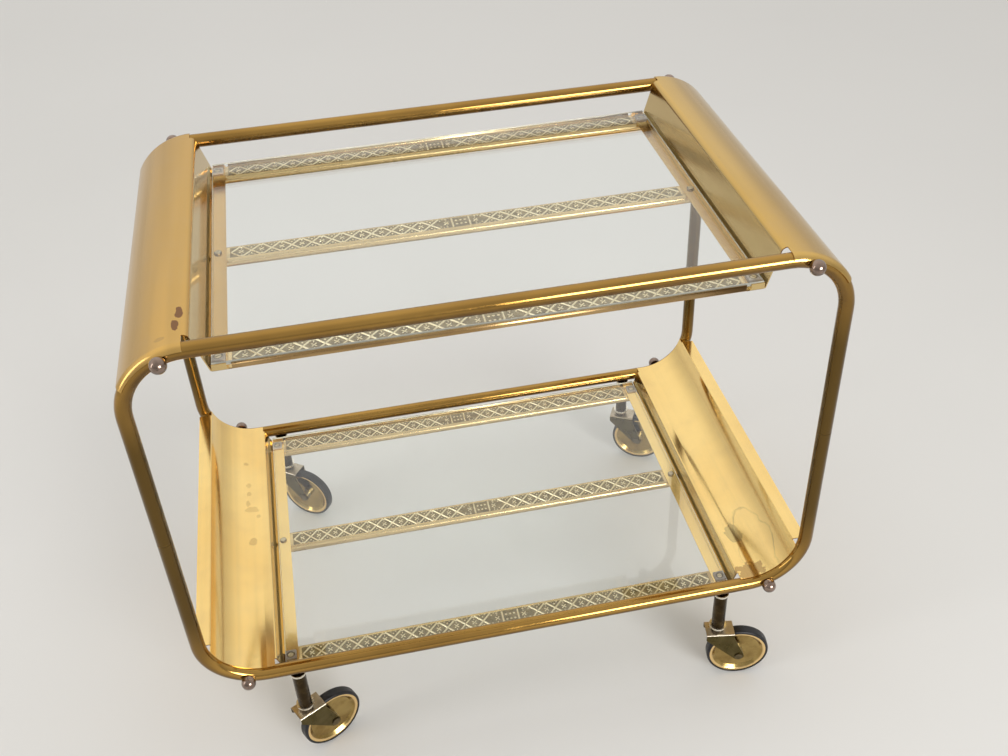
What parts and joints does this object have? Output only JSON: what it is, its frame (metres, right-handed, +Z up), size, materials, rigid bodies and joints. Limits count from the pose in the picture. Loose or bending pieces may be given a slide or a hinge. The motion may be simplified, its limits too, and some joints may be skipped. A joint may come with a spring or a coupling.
{
  "type": "bar cart",
  "caption": "Brass bar cart with glass shelves on patterned strips, curved end panels and swivel casters.",
  "frame": {"origin": "on the floor, under the middle of the cart", "axes": "+Z up, +X along the cart's length toward its right end, +Y toward its rear"},
  "size_m": [0.6546, 0.4288, 0.5625],
  "materials": {
    "rail_brass": "polished, aged",
    "panel_brass": "polished, aged",
    "strip_brass": "embossed and gilded",
    "screw_brass": "aged",
    "disc_brass": "spun, polished",
    "ball_copper": "worn plating with a coppery tone",
    "stem_bronze": "dark bronzed",
    "fork_bronze": "dulled nickel over brass",
    "collar_nickel": "bright nickel",
    "zinc_steel": "zinc plated",
    "steel_sleeve": "plain steel",
    "pad": "soft grey pad",
    "tyre": "smooth black rubber",
    "glass": "clear float glass"
  },
  "bodies": {
    "cart": {"ball_screw_nuts": "zinc_steel", "ball_screws": "ball_copper", "caster_stems": "stem_bronze", "front_lower_tube": "rail_brass", "front_upper_tube": "rail_brass", "grip_rings": "zinc_steel", "lower_front_strip": "strip_brass", "lower_glass": "glass", "lower_glass_pads": "pad", "lower_left_panel": "panel_brass", "lower_middle_strip": "strip_brass", "lower_rear_strip": "strip_brass", "lower_right_panel": "panel_brass", "rear_lower_tube": "rail_brass", "rear_upper_tube": "rail_brass", "stem_ferrules": "stem_bronze", "tray_nuts": "zinc_steel", "tray_screws": "screw_brass", "tube_spigots": "steel_sleeve", "upper_front_strip": "strip_brass", "upper_glass": "glass", "upper_glass_pads": "pad", "upper_left_panel": "panel_brass", "upper_middle_strip": "strip_brass", "upper_rear_strip": "strip_brass", "upper_right_panel": "panel_brass"},
    "front_right_swivel": {"front_right_axle": "zinc_steel", "front_right_collar": "collar_nickel", "front_right_fork": "fork_bronze", "front_right_kingpin": "zinc_steel"},
    "front_right_wheel": {"front_right_hub": "zinc_steel", "front_right_tyre": "tyre", "front_right_wheel_discs": "disc_brass"},
    "front_left_swivel": {"front_left_axle": "zinc_steel", "front_left_collar": "collar_nickel", "front_left_fork": "fork_bronze", "front_left_kingpin": "zinc_steel"},
    "front_left_wheel": {"front_left_hub": "zinc_steel", "front_left_tyre": "tyre", "front_left_wheel_discs": "disc_brass"},
    "rear_left_swivel": {"rear_left_axle": "zinc_steel", "rear_left_collar": "collar_nickel", "rear_left_fork": "fork_bronze", "rear_left_kingpin": "zinc_steel"},
    "rear_left_wheel": {"rear_left_hub": "zinc_steel", "rear_left_tyre": "tyre", "rear_left_wheel_discs": "disc_brass"},
    "rear_right_swivel": {"rear_right_axle": "zinc_steel", "rear_right_collar": "collar_nickel", "rear_right_fork": "fork_bronze", "rear_right_kingpin": "zinc_steel"},
    "rear_right_wheel": {"rear_right_hub": "zinc_steel", "rear_right_tyre": "tyre", "rear_right_wheel_discs": "disc_brass"}
  },
  "joints": [
    {"name": "front_right_swivel_turn", "type": "hinge", "parent": "cart", "child": "front_right_swivel", "pos_m": [0.231, -0.195, 0.0725], "axis": [0, 0, 1], "continuous": true},
    {"name": "front_right_wheel_spin", "type": "hinge", "parent": "front_right_swivel", "child": "front_right_wheel", "pos_m": [0.25566, -0.19913, 0.035], "axis": [0.165, 0.9863, 0], "continuous": true},
    {"name": "front_left_swivel_turn", "type": "hinge", "parent": "cart", "child": "front_left_swivel", "pos_m": [-0.231, -0.195, 0.0725], "axis": [0, 0, 1], "continuous": true},
    {"name": "front_left_wheel_spin", "type": "hinge", "parent": "front_left_swivel", "child": "front_left_wheel", "pos_m": [-0.20899, -0.18315, 0.035], "axis": [-0.4741, 0.8805, 0], "continuous": true},
    {"name": "rear_left_swivel_turn", "type": "hinge", "parent": "cart", "child": "rear_left_swivel", "pos_m": [-0.231, 0.195, 0.0725], "axis": [0, 0, 1], "continuous": true},
    {"name": "rear_left_wheel_spin", "type": "hinge", "parent": "rear_left_swivel", "child": "rear_left_wheel", "pos_m": [-0.21065, 0.18048, 0.035], "axis": [0.5807, 0.8141, 0], "continuous": true},
    {"name": "rear_right_swivel_turn", "type": "hinge", "parent": "cart", "child": "rear_right_swivel", "pos_m": [0.231, 0.195, 0.0725], "axis": [0, 0, 1], "continuous": true},
    {"name": "rear_right_wheel_spin", "type": "hinge", "parent": "rear_right_swivel", "child": "rear_right_wheel", "pos_m": [0.25316, 0.18342, 0.035], "axis": [0.4633, 0.8862, 0], "continuous": true}
  ]
}
